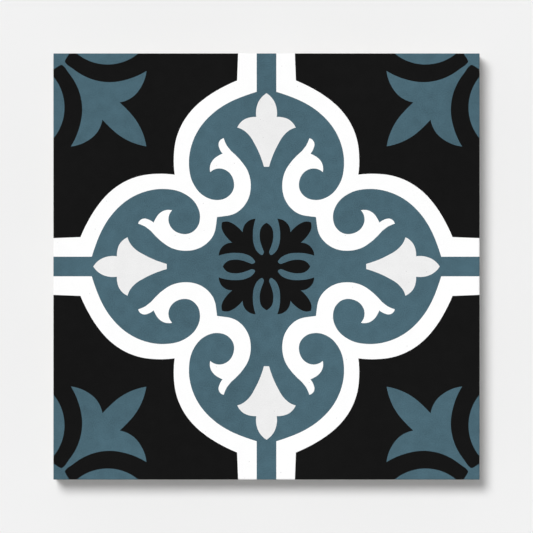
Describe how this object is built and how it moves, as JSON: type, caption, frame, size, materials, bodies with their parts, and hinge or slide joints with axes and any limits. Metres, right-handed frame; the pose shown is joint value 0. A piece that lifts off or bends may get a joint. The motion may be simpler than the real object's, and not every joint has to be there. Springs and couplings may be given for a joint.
{
  "type": "patterned cement tile",
  "caption": "Square cement floor tile, flat and face up, with an inlaid scroll and quatrefoil pattern, eased face edges and a keyed back.",
  "frame": {"origin": "middle of the back face, which lies on the floor", "axes": "+Z out of the patterned face, +X and +Y along two sides of the square"},
  "size_m": [0.2, 0.2, 0.016],
  "materials": {
    "cement": "matt pressed cement, inlaid in black, grey-blue, white and pale grey"
  },
  "bodies": {
    "root": {"tile": "cement"}
  },
  "joints": []
}
